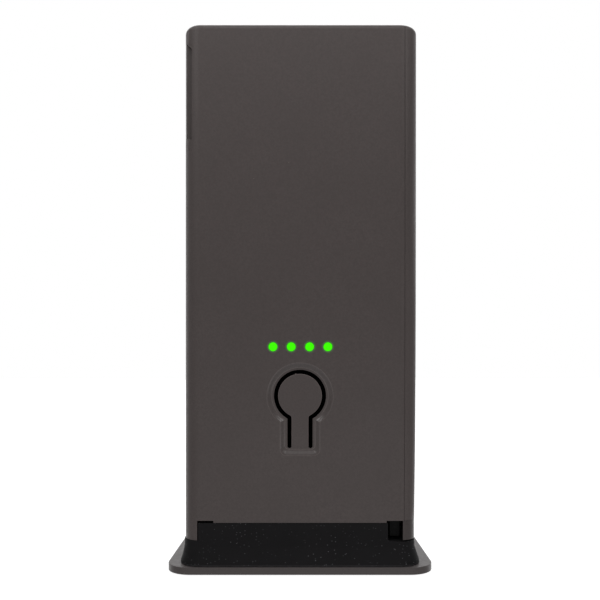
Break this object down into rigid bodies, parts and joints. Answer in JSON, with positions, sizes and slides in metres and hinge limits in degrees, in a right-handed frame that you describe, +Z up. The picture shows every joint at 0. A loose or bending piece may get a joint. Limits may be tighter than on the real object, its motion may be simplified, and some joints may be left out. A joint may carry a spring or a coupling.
{
  "type": "power bank",
  "caption": "Tower-shaped power bank with indicator lights, a keyhole push button and a side port door, standing in a rubber-booted foot.",
  "frame": {"origin": "middle of the rest face under the foot", "axes": "+Z up along the tower, -Y out of the front with the button, +X to the right seen from the front"},
  "size_m": [0.0596, 0.0368, 0.1222],
  "materials": {
    "satin_shell": "satin moulded plastic with a fine grain, warm dark grey",
    "black_rubber": "matt black elastomer that picks up lint",
    "black_plastic": "black moulded plastic",
    "plated_steel": "nickel-plated",
    "aluminium_can": "bare drawn can",
    "nickel": "nickel strip",
    "circuit_board": "green solder mask",
    "led_package": "cast LED package",
    "green_lens": "green lens lit from behind",
    "cell_sleeve": null,
    "foam": "closed-cell foam strip",
    "red_insulation": "wire insulation"
  },
  "bodies": {
    "stand": {"foot_plate": "satin_shell", "foot_pad": "black_rubber", "rubber_boot": "black_rubber", "seat_core": "black_plastic", "stand_screw_1": "plated_steel", "stand_screw_2": "plated_steel"},
    "tower": {"main_housing": "satin_shell", "side_panel": "satin_shell", "side_skirt": "satin_shell", "bottom_bulkhead": "black_plastic", "bulkhead_screw_1": "plated_steel", "bulkhead_screw_2": "plated_steel", "bulkhead_screw_3": "plated_steel", "door_pin": "plated_steel", "main_pcb": "circuit_board", "pcb_screw_1": "plated_steel", "pcb_screw_2": "plated_steel", "pcb_screw_3": "plated_steel", "pcb_screw_4": "plated_steel", "led_1": "led_package", "led_2": "led_package", "led_3": "led_package", "led_4": "led_package", "light_pipe_1": "green_lens", "light_pipe_2": "green_lens", "light_pipe_3": "green_lens", "light_pipe_4": "green_lens", "light_baffle": "black_plastic", "tact_switch": "black_plastic", "usb_c_port": "plated_steel", "usb_a_port": "plated_steel", "power_inductor": "black_plastic", "charger_chip": "black_plastic", "protection_chip": "black_plastic", "capacitor_1": "aluminium_can", "capacitor_2": "aluminium_can", "cell_1": "cell_sleeve", "cell_2": "cell_sleeve", "cell_holder_bottom": "black_plastic", "cell_holder_top": "black_plastic", "nickel_strip_bottom": "nickel", "nickel_strip_top": "nickel", "foam_pad": "foam", "thermistor": "black_plastic", "positive_lead": "red_insulation", "negative_lead": "black_plastic"},
    "button": {"button": "satin_shell"},
    "switch_plunger": {"switch_plunger": "black_plastic"},
    "port_door": {"port_door": "satin_shell"}
  },
  "joints": [
    {"name": "tower_lift", "type": "slide", "parent": "stand", "child": "tower", "axis": [0, 0, 1], "range_m": [0, 0.02]},
    {"name": "button_press", "type": "hinge", "parent": "tower", "child": "button", "pos_m": [0, -0.0157, 0.02805], "axis": [-1, 0, 0], "range_deg": [0, 1.8], "stiffness_Nm_per_rad": 0.5},
    {"name": "plunger_travel", "type": "slide", "parent": "tower", "child": "switch_plunger", "axis": [0, 1, 0], "range_m": [0, 0.0004]},
    {"name": "door_swing", "type": "hinge", "parent": "tower", "child": "port_door", "pos_m": [-0.025, 0.003, 0.10665], "axis": [0, 0, -1], "range_deg": [0, 90]}
  ],
  "couplings": [
    {"joint": "plunger_travel", "follows": "button_press", "m_per_rad": 0.01145}
  ]
}
